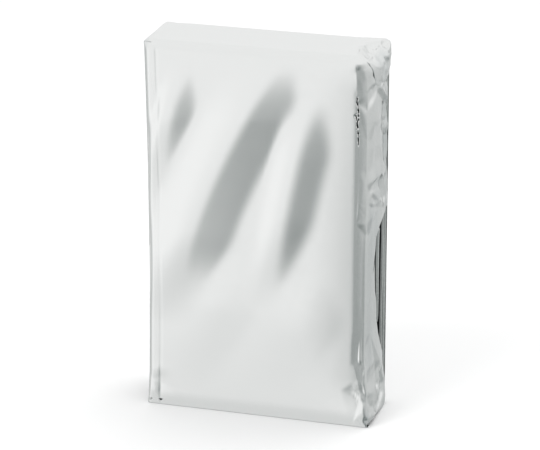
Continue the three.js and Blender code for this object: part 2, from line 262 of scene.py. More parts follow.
# Creases of the right side and of its corners, each a row of places (u, v, rise). The film
# lies in flat facets between them, which stand out FACET_RISE times as far.
FACET_RISE = 2.0
SIDE_CREASES = [
    # Round the whole net, where the cover is plain.
    [(51, 0, 0), (45.5, 19.8, 0), (50.5, 34, 0), (53, 70, 0), (53, 112, 0), (54, 140, 0)],
    [(54, 140, 0), (52.5, 176, 0), (50, 198, 0)],
    [(50, 198, 0), (47, 212, 0), (46, 239, 0), (60, 239, 0), (70, 239, 0), (81, 239, 0)],
    [(50, 198, 0), (59, 197.8, 0), (63.2, 196.8, -0.1), (66, 196.8, -0.7)],
    [(66, 196.8, -0.7), (96, 196, -0.7), (99, 197, -0.3)],
    [(51, 0, 0), (62, 0, 0), (80, 0, 0), (99, 0, 0)],
    [(99, 0, 0), (99, 14, 0), (99, 60, 0), (99, 112, 0), (99, 150, 0), (99, 180, 0)],
    [(99, 180, 0), (99, 197, -0.3)],
    # The crease under the tuck and the smooth drop-shaped facet below it.
    [(59.8, 172, -0.35), (62.5, 175.4, -0.5), (66, 177.4, -0.5), (72.5, 178.6, -0.4)],
    [(60, 170, 0.1), (62.5, 172.8, 0.25), (66, 175, 0.3), (73, 176.6, 0.2), (83, 171.6, 0.25)],
    [(60, 167.2, 0.35), (66.5, 165.6, 0.75), (73, 164.4, 0.85), (79, 164.6, 0.6)],
    [(79, 164.6, 0.6), (83, 171.6, 0.25)],
    [(58, 158, 0), (62, 155, 0), (71, 159.2, 0.2), (77.5, 162.5, 0.5), (79, 164.6, 0.6)],
    [(66, 182.6, -0.5), (71, 181.4, -0.6)],
    [(64, 184.6, 0.3), (67.4, 185.2, 0.6), (70.6, 184, 0.1), (76, 183, -0.3)],
    # The small tuck at the back edge.
    [(98, 187.5, 0.6), (91.5, 186, 0.8), (84, 182, 1.0), (79.5, 179, 0.9)],
    [(79.5, 179, 0.9), (84, 175.5, 0.9), (91, 170.5, 0.8)],
    [(84.5, 178.8, 0.0), (91, 178.2, -0.3), (98, 178, -0.3)],
    [(76.5, 180.4, -0.1), (79.2, 175.6, 0.0), (85.5, 171.4, 0.1), (92, 166.6, 0.1)],
    # Edges that stand up behind it, and a crumpled place.
    [(87.2, 169, 0.0), (86.6, 162.4, 0.0)],
    [(88.2, 168.4, 0.7), (87.8, 162.6, 0.6), (84.6, 160, 0.2), (86.6, 156, 0.8), (89, 153, 0.1)],
    [(87.8, 162.6, 0.6), (90.6, 159.6, 0.1), (92.6, 156.6, 0.9), (89, 153, 0.1)],
    [(91, 151, 0.0), (91.4, 143, 0.0), (91, 137.4, 0.0)],
    [(92.4, 152, 0.7), (92.8, 143, 0.8), (92.6, 136, 0.5)],
    [(63, 150.6, 0.15), (70, 151.6, 0.3), (81, 148.6, 0.45), (86, 152.6, 0.2)],
    # The curved facet half-way up.
    [(58.5, 139.2, 0.0), (66, 140.2, -0.15), (73.5, 142.4, -0.1), (79.5, 142, 0.1)],
    [(79.5, 142, 0.1), (86.5, 138.4, 0.3), (91.5, 133.8, 0.5)],
    [(58.5, 133.6, 0.35), (64, 133.8, 0.55), (72, 134.6, 0.7), (81, 133, 0.65), (91.5, 131.8, 0.4)],
    [(62, 129.6, 0.0), (72, 131.2, -0.05), (81, 129.2, 0.0)],
    # The four-sided facet below it.
    [(65.4, 128.9, -0.1), (81.6, 126.2, -0.1)],
    [(66, 127.6, 0.4), (81.6, 124.9, 0.4)],
    [(66, 127.6, 0.4), (64.4, 123.6, 0.2), (66.4, 121, 0.35), (80, 118.4, 0.5), (83, 118.2, 0.4)],
    [(68.6, 124.6, -0.05), (71.6, 121.6, -0.1)],
    [(75, 122.6, 0.45), (80, 121.6, 0.5)],
    [(62.6, 126, 0.0), (62.4, 121.6, 0.0), (67, 119.4, -0.1), (80, 116.8, 0.0)],
    # Edges that stand up behind that facet.
    [(84, 130.4, -0.2), (84.4, 124, -0.3), (84.6, 119, -0.2)],
    [(85.6, 130, 0.6), (86, 124, 0.6), (86, 118.6, 0.5)],
    [(89.4, 126, 0.1), (89.6, 118.6, 0.0)],
    [(91, 125.6, 0.8), (91, 118.8, 0.7)],
    # The slanting fold over the top of the slot.
    [(56.5, 110.6, 0.05), (59.6, 112.2, 0.3), (66, 114.6, 0.4), (73, 116, 0.3)],
    [(58, 106, -0.1), (64, 105, -0.3), (70, 107, -0.25)],
    [(86, 113.6, 0.5), (96, 113, 0.4)],
    # The lower margin: upright folds along the rounded edge and beside the slot.
    [(57.6, 100, 0.0), (57.4, 66, -0.05), (57.4, 30, -0.05)],
    [(59.8, 101, 0.25), (59.6, 74, 0.35), (59.9, 48, 0.45)],
    [(62.6, 100, 0.0), (62.2, 74, 0.0), (62.8, 50, 0.0)],
    [(67, 102, -0.1), (66.8, 74, -0.15), (68, 50, -0.1)],
    [(60.2, 45.6, 0.4), (61.8, 43.6, -0.3), (60, 41.4, 0.3)],
    [(54.6, 37.4, -0.15), (56.4, 36.2, 0.35), (57, 34, -0.1)],
    [(59.4, 37, 0.4), (60.4, 35, -0.1)],
    # The foot of the margin, folded in under the slot.
    [(59.2, 31, 0.45), (60, 25, 0.5), (60.8, 19.8, 0.4)],
    [(63, 33, 0.45), (69, 32.4, 0.35), (76, 31.2, 0.2)],
    [(63.6, 24, -0.2), (69.4, 22.6, -0.15)],
    [(70.4, 29, -0.05), (76.6, 26.6, 0.2), (75.6, 21, 0.5)],
    [(76, 31.2, 0.2), (82, 29.8, 0.9), (88, 26.4, 0.8), (95, 22, 0.3)],
    [(79.2, 26, -0.1), (79.4, 18.4, -0.2)],
    [(81, 25.4, 0.7), (81.2, 18, 0.6)],
    [(86, 22, 0.0), (90, 16, -0.3), (88.6, 11.6, -0.4), (79.6, 7, -0.3)],
    [(88.6, 22.4, 0.5), (93, 17, 0.5), (91.6, 11, 0.4), (81.4, 5, 0.5)],
    [(68, 17.6, 0.4), (75, 14.6, 0.5), (84, 13.4, 0.3)],
    [(66, 10, -0.2), (73, 8.6, -0.3)],
    [(64, 6, 0.4), (71, 4, 0.5), (78, 2.6, 0.3)],
    # Folds of the front beside that foot.
    [(45.5, 19.8, 0), (51, 19.6, -0.14), (57.4, 19.6, -0.2)],
    [(51, 24.6, 0.0), (56.4, 24.8, 0.0)],
    [(60.8, 19.8, 0.4), (61, 15.6, -0.15), (55.6, 15.8, 0.0), (57.4, 19.6, -0.2)],
    [(55.6, 15, -0.1), (59.4, 14.6, -0.1), (57.4, 11.4, 0.2), (55.6, 15, -0.1)],
    [(57.8, 5.6, 0.05), (60.6, 5.8, 0.05), (60.8, 3, 0), (57.8, 3.2, 0), (57.8, 5.6, 0.05)],
    [(58.9, 4.6, -0.5), (59.6, 4.3, -0.5)],
    # Where the margins of the front and of the top meet, under and beside the tuck.
    [(63.6, 195, -0.1), (66.4, 189.8, -0.1), (68.4, 186.6, 0.0)],
    [(66.4, 195, -0.7), (68.8, 190, -0.7), (71, 186, -0.6), (82, 185.4, -0.5)],
    [(57.5, 181, 0.15), (58.6, 177, -0.15)],
    # The top right corner.
    [(51, 224.4, 0.5), (52.6, 213, 0.8), (52.4, 204, 0.6)],
    [(52.4, 204, 0.6), (56.6, 202.6, 0.2)],
    [(55, 222, -0.5), (57.4, 215.4, -0.6), (59, 212.4, -0.9), (61.5, 208.6, -1.0)],
    [(61.5, 208.6, -1.0), (64.6, 206.2, -0.6)],
    [(57.8, 221.6, -0.7), (59.2, 218.6, -0.4)],
    [(56.6, 227, 0.5), (60, 227.4, 0.5)],
    [(60.4, 212.8, 0.0), (66.6, 213.6, 1.0), (62.2, 224, 0.1)],
    [(60.6, 230.6, 0.6), (60.6, 235, 0.4)],
    [(64, 228, 0.0), (64.4, 235, 0.0)],
    [(66.4, 226, 0.5), (67.4, 235, 0.2)],
    [(70.6, 227, 0.1), (71.4, 235, 0.0)],
    # The tuck: a flat lens and the upright edge behind it.
    [(65.4, 206.6, -0.3), (70.5, 206, -0.35), (74.8, 208.4, -0.2)],
    [(69.6, 212.6, 0.5), (73, 213.6, 0.6), (76.4, 214.6, 0.3)],
    [(66.8, 222.4, -0.3), (72, 222.2, -0.4), (79, 221.2, -0.3)],
    [(67.4, 223.8, 0.5), (73, 223.6, 0.6), (79, 222.8, 0.5)],
]

# Slack of the cover: soft folds that rise gently from their left to a crest and fall away on
# their right. Each has how far it reaches to both sides and how high its crest is.
SLACK_FOLDS = [
    # The front, slanting from the upper right to the lower left.
    {"crest": [(-38, 194), (-46, 172), (-51, 156), (-55, 112)], "reach": (8, 14), "rise": 2.0},
    {
        "crest": [(12, 198), (0, 176), (-12, 160), (-23, 136), (-30, 118), (-41, 92), (-50, 46)],
        "reach": (24, 24),
        "rise": 2.9,
    },
    {
        "crest": [(29, 179), (25, 167), (20, 146), (15, 124), (1, 60)],
        "reach": (12, 14),
        "rise": 1.7,
    },
    {"crest": [(-10, 92), (-24, 60), (-34, 26), (-38, 8)], "reach": (26, 22), "rise": 0.7},
    {"crest": [(28, 84), (20, 50), (16, 14)], "reach": (28, 24), "rise": 0.6},
    # The top.
    {"crest": [(-34, 236), (-30, 206)], "reach": (20, 14), "rise": 0.3},
    {"crest": [(22, 238), (14, 204)], "reach": (24, 12), "rise": 0.25},
    # The back.
    {"crest": [(-16, 246), (-22, 320), (-30, 430)], "reach": (22, 10), "rise": 1.0},
    {"crest": [(22, 250), (14, 330), (4, 420)], "reach": (20, 9), "rise": 1.2},
    {"crest": [(48, 262), (40, 340), (34, 432)], "reach": (14, 7), "rise": 0.8},
]

# Over which length a fold bends in at its crest and at its right foot, over which lengths it
# fades out at its lower and upper ends, and the share of its right flank that is left there.
CREST_SOFT = 7
LOW_FADE = 55
HIGH_FADE = 36
FOLD_TAPER = 0.4

# Where the cover draws in: at the foot, and towards the right edge of the front, apart from
# its foot and its top. The whole sheet has a faint wave.
FOOT_FALL = {"depth": 0.6, "height": 9}
FRONT_FALL = {"depth": 1.1, "from": 26, "run": 34, "foot": 4, "foot_run": 24, "top_run": 20}
SHEET_WAVE = {"rise": 0.06, "across": 23, "along": 57}

# Crumpled places of the cover: the middle, how far they reach, their rise and facet size, and
# the way their first zigzag runs. Each further zigzag is turned on, shorter and lower. All
# fade out towards their reach, from a whole middle that CRUMPLE_EDGE widens.
CRUMPLES = [
    {"at": (57, 211), "reach": 13, "rise": 1.5, "facet": 3.4, "turn": 0.4},
    {"at": (66, 224), "reach": 15, "rise": 1.0, "facet": 3.6, "turn": 1.3},
    {"at": (58, 195), "reach": 9, "rise": 0.6, "facet": 4.5, "turn": 1.9},
    {"at": (95, 156), "reach": 8, "rise": 0.5, "facet": 5, "turn": 2.2},
    {"at": (76, 12), "reach": 18, "rise": 0.25, "facet": 4.5, "turn": 0.2},
    {"at": (-56, 14), "reach": 12, "rise": 0.3, "facet": 7, "turn": 1.1},
    {"at": (-54, 232), "reach": 12, "rise": 0.3, "facet": 7, "turn": 2.5},
    {"at": (52, 300), "reach": 34, "rise": 0.3, "facet": 11, "turn": 0.1},
    {"at": (-50, 410), "reach": 26, "rise": 0.35, "facet": 10, "turn": 1.9},
]
ZIGZAGS = {"count": 4, "turn": 2.4, "shift": 0.31, "length": 2.6, "shorter": 0.37, "lower": 1.4}
CRUMPLE_EDGE = 1.25

# Colours of the film: a pale silver, and a grey for its slanting bands, which are a painted
# reflection. The inner plies have darker copies of both as painted shade, and a near-black
# painted shade for the gaps between them. The last two say how far from the middle the
# inner plies come out of that painted gap shade.
PALE = (0.865, 0.875, 0.868, 1)
REFLECTION_GREY = (0.77, 0.79, 0.79, 1)
SHADED_PLY_PALE = (0.7, 0.72, 0.71, 1)
SHADED_PLY_REFLECTION_GREY = (0.5, 0.52, 0.52, 1)
PAINTED_GAP_SHADE = (0.03, 0.035, 0.035, 1)
GAP_SHADE_FROM = 56.5
GAP_SHADE_TO = 59.2

# The film's shine, its slanting clouds of painted reflection, and its wrinkles and facets.
# Their scales are numbers for a metre.
# The wrinkles and facets fade in towards the right side.
METAL = 0.94
GLOSS = {"least": 0.08, "spread": 0.1}
REFLECTION_BANDS = {"slant": math.radians(14), "scale": (46, 46, 12), "edge": (0.5, 0.68)}
WRINKLES = {"scale": 210.0, "share": 0.6}
FINE_FACETS = {"scale": 130.0, "share": 0.4, "edge": (0.0, 0.12)}
BUMP_DEPTH = 0.4
BUMPY_FROM = 46
BUMPY_TO = 60

# The studio that the film mirrors. Each lobe has its light and the soft steps between which it
# lies, of the direction's x, y and z or of its angle around the pack, from the front to the
# right.
STUDIO_DARK = (0.03, 0.06, 0.055, 1)
STUDIO_WHITE = (1.0, 1.0, 1.0, 1)
LOW_LIGHT = 0.36
HIGH_LIGHT = {"light": 0.9, "z": (-0.3, 0.42)}
KEY_LIGHT = {"light": 0.57, "starts": (-1.5, -0.7), "ends": (-0.24, 0.02)}
REAR_LIGHT = {"light": 0.22, "angle": (0.3, 1.2)}
LEFT_REAR_LIGHT = {"light": 0.26, "left": (-0.24, 0.34), "y": (0.0, 0.5)}
FLOOR_SHADE = {"light": 0.22, "z": (-0.56, -0.3)}

# The floor and the lamps, in metres.
FLOOR_SIZE = 12
FLOOR_WHITE = (0.93, 0.93, 0.93, 1)
LAMP_AIM = (0, 0, 0.1)


def smooth(share):
    """A soft step from 0 to 1."""
    share = np.clip(share, 0, 1)
    return share * share * (3 - 2 * share)


def mix(a, b, share):
    return a + (b - a) * share


def column(rows, key, name, places):
    """Reads a column of a table at the places given, in straight lines between its rows."""
    return np.interp(places, [row[key] for row in rows], [row[name] for row in rows])


def line_distance(u, v, line):
    """The distance of each place on the sheet from a bent line."""
    nearest = np.full(np.shape(u), np.inf)
    for (u0, v0), (u1, v1) in zip(line, line[1:]):
        du, dv = u1 - u0, v1 - v0
        share = np.clip(((u - u0) * du + (v - v0) * dv) / (du * du + dv * dv), 0, 1)
        nearest = np.minimum(nearest, np.hypot(u - u0 - share * du, v - v0 - share * dv))
    return nearest


def bent_in(run):
    """A straight slope that starts at 0 and bends in softly."""
    soft = np.clip(run, 0, CREST_SOFT)
    return soft**2 / (2 * CREST_SOFT) + np.maximum(run - CREST_SOFT, 0)


def slack_fold(u, v, row):
    """A soft fold with a crest; it fades out at both its ends."""
    ends = np.array(row["crest"])
    curve = np.polyfit(ends[:, 1], ends[:, 0], min(3, len(ends) - 1))
    low, high = ends[:, 1].min(), ends[:, 1].max()
    beside = u - np.polyval(curve, np.clip(v, low, high))
    fade = smooth((v - low) / LOW_FADE) * smooth((high - v) / HIGH_FADE)
    left, right = row["reach"]
    right = right * (FOLD_TAPER + (1 - FOLD_TAPER) * fade)
    fall = (bent_in(beside) - bent_in(beside - right)) / right
    shape = smooth(1 + np.minimum(beside, 0) / left) - fall
    return row["rise"] * shape * fade


def zigzag(place):
    """A straight-sided wave of height 1 and length 1."""
    return 4 * np.abs(place - np.floor(place + 0.5)) - 1


def crumple(u, v, row):
    """Flat facets with sharp edges between them, from four crossing zigzags."""
    u0, v0 = row["at"]
    rise = np.zeros(np.shape(u))
    for k in range(ZIGZAGS["count"]):
        angle = row["turn"] + k * ZIGZAGS["turn"]
        along = (u - u0) * math.cos(angle) + (v - v0) * math.sin(angle)
        length = row["facet"] * (ZIGZAGS["length"] - ZIGZAGS["shorter"] * k)
        rise += zigzag(along / length + ZIGZAGS["shift"] * k) / (ZIGZAGS["lower"] + k)
    inside = smooth(CRUMPLE_EDGE * (1 - np.hypot(u - u0, v - v0) / row["reach"]))
    return row["rise"] * rise * inside


def side_facets():
    """The facets between the side's creases: three corners (u, v, rise) each."""
    corners, edges = [], []
    for crease in SIDE_CREASES:
        first = len(corners)
        corners += crease
        edges += [(first + i, first + i + 1) for i in range(len(crease) - 1)]
    flat = [Vector(corner[:2]) for corner in corners]
    places, _, faces, sources, _, _ = delaunay_2d_cdt(flat, edges, [], 0, TOUCH)
    rises = [corners[source[0]][2] for source in sources]
    return [[(*places[i], rises[i]) for i in face] for face in faces]


FACETS = side_facets()


def facet_rise(u, v):
    """How far the side's facets stand out at each place on the sheet."""
    rise = np.zeros(np.shape(u))
    for (u0, v0, r0), (u1, v1, r1), (u2, v2, r2) in FACETS:
        area = (u1 - u0) * (v2 - v0) - (v1 - v0) * (u2 - u0)
        first = ((u - u0) * (v2 - v0) - (v - v0) * (u2 - u0)) / area
        second = ((u1 - u0) * (v - v0) - (v1 - v0) * (u - u0)) / area
        inside = (first >= 0) & (second >= 0) & (first + second <= 1)
        rise = np.where(inside, r0 + first * (r1 - r0) + second * (r2 - r0), rise)
    return FACET_RISE * rise


def relief(u, v):
    """How far the cover stands out of its plane at each place on the sheet."""
    wave = np.sin(u / SHEET_WAVE["across"] + v / SHEET_WAVE["along"])
    rise = SHEET_WAVE["rise"] * wave + facet_rise(u, v)
    low = np.clip(1 - v / FOOT_FALL["height"], 0, 1) ** 2 * (v > -TOUCH)
    rise -= FOOT_FALL["depth"] * low
    upright = smooth((TOP_START - v) / FRONT_FALL["top_run"])
    upright = upright * smooth((v - FRONT_FALL["foot"]) / FRONT_FALL["foot_run"])
    to_right = np.clip((u - FRONT_FALL["from"]) / FRONT_FALL["run"], 0, 1)
    rise -= FRONT_FALL["depth"] * to_right**2 * upright
    for row in SLACK_FOLDS:
        rise += slack_fold(u, v, row)
    for row in SEAL_CREASES:
        rise += row["rise"] * np.clip(1 - line_distance(u, v, row["line"]) / row["width"], 0, 1)
    for row in CRUMPLES:
        rise += crumple(u, v, row)
    return rise


def press_round(points, edge):
    """Presses an edge of the pack round: a square beside it becomes a quarter disc."""
    (a, b), at, (start, end) = edge["axes"], edge["at"], edge["along"]
    radius = mix(*edge["radii"], smooth((points[..., 3 - a - b] - start) / (end - start)))
    ways = [1 if place > 0 else -1 for place in at]
    in_a = (ways[0] * (points[..., a] - at[0])) / radius + 1
    in_b = (ways[1] * (points[..., b] - at[1])) / radius + 1
    inside = (in_a > 0) & (in_b > 0)
    pull_a = np.sqrt(np.clip(1 - in_b**2 / 2, ROUND_LEAST, 1)) - 1
    pull_b = np.sqrt(np.clip(1 - in_a**2 / 2, ROUND_LEAST, 1)) - 1
    points[..., a] += np.where(inside, ways[0] * radius * in_a * pull_a, 0)
    points[..., b] += np.where(inside, ways[1] * radius * in_b * pull_b, 0)


def settle(points):
    """The pack as it stands: rounded edges, a swollen middle and a waist on its left side."""
    for edge in ROUNDED_EDGES:
        press_round(points, edge)
    across = np.clip(1 - (points[..., 0] / RIGHT) ** 2, 0, 1)
    upward = np.clip(1 - (points[..., 2] / (HEIGHT / 2) - 1) ** 2, 0, 1)
    points[..., 1] *= 1 + SWELL * across * upward
    points[..., 0] *= np.where(points[..., 0] < 0, 1 - WAIST / RIGHT * upward, 1)
    return points


def steps(start, end, step):
    """Even places from start to end, about a step apart."""
    return np.linspace(start, end, max(2, round(abs(end - start) / step) + 1))


def outward(u, v):
    """The way out of the pack at each place on the cover, turning softly round its edges."""
    down, front, up, back = (0, 0, -1), (0, -1, 0), (0, 0, 1), (0, 1, 0)
    bends = [
        (0, FOOT_BEND, front),
        (TOP_START, EDGE_BEND, up),
        (BACK_START, EDGE_BEND, back),
    ]
    way = np.zeros(np.shape(u) + (3,)) + down
    for start, reach, after in bends:
        share = smooth((v - start + reach) / (2 * reach))[..., None]
        way = way * (1 - share) + np.array(after) * share
    share = smooth((u - RIGHT + EDGE_BEND) / (2 * EDGE_BEND))[..., None]
    way = way * (1 - share) + np.array((1, 0, 0)) * share
    return way / np.linalg.norm(way, axis=-1, keepdims=True)


def face_places(x, v, inwards):
    """Points of the cover's faces, in the pack before it settles."""
    y = np.where(v < 0, FRONT - v, np.clip(v - TOP_START, 0, DEPTH) + FRONT)
    z = np.where(v < TOP_START, np.maximum(v, 0), np.minimum(HEIGHT, COVER_END - v))
    points = np.stack([x, y, z], axis=-1)
    flat_way = np.zeros(points.shape)
    flat_way[..., 1] = np.where((v >= 0) & (v <= TOP_START), -1, np.where(v > BACK_START, 1, 0))
    flat_way[..., 2] = np.where(v < 0, -1, np.where((v > TOP_START) & (v < BACK_START), 1, 0))
    return points - flat_way * inwards[..., None]


def folded_edge(radius=EDGE_TURN, back=EDGE_RETURN):
    """Places (along, inwards) where film turns at an edge and goes back under itself."""
    angles = np.linspace(0, math.pi, EDGE_STEPS + 1)[1:]
    round_part = [(radius * math.sin(a), radius * (1 - math.cos(a))) for a in angles]
    return round_part + [(-back / 2, 2 * radius), (-back, 2 * radius)]


class Film:
    """A sheet of film that is put together from patches, and then becomes one mesh."""

    def __init__(self):
        self.points = []
        self.faces = []

    def patch(self, grid, split=None):
        first = sum(len(points) for points in self.points)
        rows, columns = grid.shape[:2]
        at = first + np.arange(rows * columns).reshape(rows, columns)
        corners = [at[:-1, :-1], at[:-1, 1:], at[1:, 1:], at[1:, :-1]]
        faces = np.stack(corners, axis=-1)
        self.points.append(grid.reshape(-1, 3))
        self.faces.append(faces.reshape(-1, 4) if split is None else faces[~split])

    def make(self, name, thickness, finish):
        mesh = bpy.data.meshes.new(name)
        points = np.concatenate(self.points) * MM
        mesh.from_pydata(points.tolist(), [], np.concatenate(self.faces).tolist())
        sheet = bmesh.new()
        sheet.from_mesh(mesh)
        bmesh.ops.remove_doubles(sheet, verts=sheet.verts, dist=WELD)
        loose = [vert for vert in sheet.verts if not vert.link_faces]
        bmesh.ops.delete(sheet, geom=loose, context="VERTS")
        sheet.to_mesh(mesh)
        sheet.free()
        mesh.shade_smooth()
        mesh.materials.append(finish)
        piece = bpy.data.objects.new(name, mesh)
        bpy.context.collection.objects.link(piece)
        body = piece.modifiers.new("film thickness", "SOLIDIFY")
        body.thickness = thickness * MM
        body.offset = -1
        return piece


def cover_rows():
    """Places along the cover, closer together where it turns."""
    return {
        "foot": steps(-FOOT_RETURN, 0, FOOT_STEP)[:-1],
        "margin foot": steps(0, MARGIN_FOOT, MARGIN_FOOT_STEP)[:-1],
        "front": steps(MARGIN_FOOT, TOP_START, FRONT_STEP),
        "top": steps(TOP_START, BACK_START, TOP_STEP),
        "back": steps(BACK_START, COVER_END, BACK_STEP),
    }


def cover_film(finish):
    """The outer ply: up the back, over the top, down the front and round the right side."""
    film = Film()
    rows = cover_rows()
    left = [(-RIGHT - along, inwards) for along, inwards in folded_edge()][::-1]
    stops = zip(FACE_STOPS, FACE_STOPS[1:])
    face = [(x, 0) for a, b in stops for x in steps(a["at"], b["at"], a["step"])[:-1]]
    across = np.array(left + face + [(RIGHT, 0)])
    rising = [rows["foot"], rows["margin foot"], rows["front"][:-1]]
    x, v = np.meshgrid(across[:, 0], np.concatenate(rising + [rows["top"], rows["back"][1:]]))
    inwards = np.broadcast_to(across[:, 1], x.shape)
    film.patch(lay_cover(face_places(x, v, inwards), x, v), split_cells(x, v))
    film.patch(front_margin(rows["front"]))
    film.patch(top_tuck(rows["top"]))
    film.patch(back_edge(rows["back"]))
    return film.make("cover_film", FILM, finish)


def split_cells(u, v):
    """The cells of the face that the ragged slits leave out."""
    u, v = (u[:-1, :-1] + u[1:, 1:]) / 2, (v[:-1, :-1] + v[1:, 1:]) / 2
    waves = np.sin(RAGGED["fine"] * v + 1) * np.sin(RAGGED["coarse"] * v)
    ragged = RAGGED["middle"] + RAGGED["swing"] * waves
    cells = np.zeros(u.shape, bool)
    for row in SPLITS:
        cells |= line_distance(u, v, row["line"]) < row["wide"] / 2 * ragged
    return cells


def lay_cover(points, u, v, lift=0.0):
    """Gives the cover its creases, turns it round the pack's edges and lets it settle."""
    rise = (relief(u, v) + lift)[..., None]
    shaped = points + outward(u, v) * rise
    least = np.where(points[..., 2] <= TOUCH, FLOOR_GAP, 0.0)
    shaped[..., 2] = np.maximum(shaped[..., 2], least)
    for edge in COVER_TURNS:
        press_round(shaped, edge)
    return settle(shaped)


def front_margin(v):
    """The margin of the front, which turns round the right side and ends in a folded edge."""
    waves = np.sin(v / SLOT_WAVE["length"]) * smooth((SLOT_WAVE["top"] - v) / SLOT_WAVE["fade"])
    reach = column(FRONT_MARGIN, "height", "reach", v) + SLOT_WAVE["depth"] * waves
    hang = np.minimum(column(FRONT_MARGIN, "height", "hang", v), v - HANG_CLEAR)
    count = round(max(reach) / MARGIN_STEP)
    share = np.linspace(0, 1, count + 1)
    places = [(s, 0.0, 0.0) for s in share]
    places += [(1.0, along, inwards) for along, inwards in folded_edge()]
    share, along, inwards = (np.array(values)[None, :] for values in zip(*places))
    tau = reach[:, None] * share + along
    rows = np.broadcast_to(v[:, None], tau.shape)
    z = rows - hang[:, None] * smooth(share)
    points = np.stack([RIGHT - np.broadcast_to(inwards, tau.shape), FRONT + tau, z], axis=-1)
    near_end = smooth((share - END_WAVE["from"]) / END_WAVE["run"])
    end_wave = END_WAVE["rise"] * near_end * np.sin(rows / END_WAVE["length"] + 1)
    return lay_cover(points, RIGHT + tau, rows, end_wave)


def top_tuck(v):
    """The margin of the top, which hangs over the right side as a slanting tuck."""
    back = v - TOP_START
    depth = column(TOP_TUCK, "back", "depth", back)
    share = np.linspace(0, 1, TUCK_STEPS + 1)
    edge = folded_edge(TUCK_TURN, TUCK_RETURN)
    places = [(s, 0.0, 0.0) for s in share]
    places += [(1.0, along, inwards) for along, inwards in edge]
    share, along, inwards = (np.array(values)[None, :] for values in zip(*places))
    fits = np.clip(depth / TUCK_FULL_EDGE, 0, 1)[:, None]
    tau = depth[:, None] * share + along * fits
    inwards = inwards * fits
    rows = np.broadcast_to(v[:, None], tau.shape)
    lift = TUCK_LIFT["rise"] * smooth(tau / TUCK_LIFT["run"])
    sunk = smooth((tau - TUCK_LIFT["sink_from"]) / TUCK_LIFT["sink_run"])
    points = np.stack([RIGHT - inwards, FRONT + rows - TOP_START, HEIGHT - tau], axis=-1)
    return lay_cover(points, RIGHT + tau, rows, lift - TUCK_LIFT["sink"] * sunk)


def back_edge(v):
    """The folded edge along the right side of the back."""
    places = [(0.0, 0.0)] + folded_edge()
    along, inwards = (np.array(values)[None, :] for values in zip(*places))
    x = RIGHT + np.broadcast_to(along, (len(v), along.shape[1]))
    rows = np.broadcast_to(v[:, None], x.shape)
    inwards = np.broadcast_to(inwards, x.shape)
    return lay_cover(face_places(x, rows, inwards), np.minimum(x, RIGHT), rows)


def layer_y(layer):
    return FRONT_Y + layer * PITCH


def path_place(y, z, heading, depth, cover_v=None):
    """One place on the strip's path: where its middle is, the way to the pack's inside, its
    depth in layers and, where it lies under the cover, its place along the cover."""
    way = (-math.sin(heading), math.cos(heading))
    return {"y": y, "z": z, "in": way, "depth": depth, "v": cover_v}


UP, FORWARD, DOWN = math.pi / 2, math.pi, 1.5 * math.pi


def turn(centre, radius, start, end, depths, cover_vs=(None, None), count=CORNER_STEPS):
    """Places round a turn of the path, its two ends included."""
    side = 1 if end > start else -1
    places = []
    for share in np.linspace(0, 1, count + 1):
        heading = mix(start, end, share)
        y = centre[0] + side * radius * math.sin(heading)
        z = centre[1] - side * radius * math.cos(heading)
        cover_v = None if cover_vs[0] is None else mix(*cover_vs, share)
        places.append(path_place(y, z, heading, mix(*depths, share), cover_v))
    return places


def inner_fold(layer):
    """A fold between two layers, at the floor or under the cover."""
    radius = PITCH / 2
    tip = radius + HALF
    at_floor = layer % 2 == 0
    short = FOLD_SHORT[layer]
    z = short + tip if at_floor else COVER_Z - HALF - CLEAR - short - tip
    start, end = (DOWN, DOWN + math.pi) if at_floor else (UP, UP - math.pi)
    centre, depths = (layer_y(layer + 0.5), z), (layer, layer + 1)
    return turn(centre, radius, start, end, depths, count=FOLD_STEPS)


def straight(depth, y, low, high, heading, cover_v=None):
    """Places up or down one layer between two heights."""
    zs = steps(low, high, PLY_STEP)
    vs = [None] * len(zs) if cover_v is None else [cover_v(z) for z in zs]
    return [path_place(y, z, heading, depth, v) for z, v in zip(zs, vs)]


def strip_path():
    """The path of the strip, from the foot of the back to its end inside the pack."""
    radius = CORNER_RADIUS
    corner_z = COVER_Z - radius
    last = LAYERS - 1
    quarter = (HALF + radius) * QUARTER_SHARE
    path = straight(last, BACK_Y, FIRST_EDGE_SHORT, corner_z, UP, lambda z: COVER_END - z)[:-1]
    back_vs = (BACK_START + quarter, BACK_START - quarter)
    path += turn((BACK_Y - radius, corner_z), radius, UP, FORWARD, (last, 0), back_vs)
    for y in steps(BACK_Y - radius, FRONT_Y + radius, PLY_STEP)[1:-1]:
        path.append(path_place(y, COVER_Z, FORWARD, 0, TOP_START + y - FRONT))
    front_vs = (TOP_START + quarter, TOP_START - quarter)
    path += turn((FRONT_Y + radius, corner_z), radius, FORWARD, DOWN, (0, 0), front_vs)
    tips = [fold[0]["z"] for fold in map(inner_fold, range(LAYERS - 2))]
    path += straight(0, FRONT_Y, corner_z, tips[0], DOWN, lambda z: z)[1:-1]
    path += inner_fold(0)
    for layer in range(1, LAYERS - 2):
        heading = UP if layer % 2 else DOWN
        path += straight(layer, layer_y(layer), tips[layer - 1], tips[layer], heading)[1:-1]
        path += inner_fold(layer)
    end_z = COVER_Z - HALF - CLEAR - LAST_EDGE_SHORT
    path += straight(LAYERS - 2, layer_y(LAYERS - 2), tips[-1], end_z, UP)[1:]
    return path


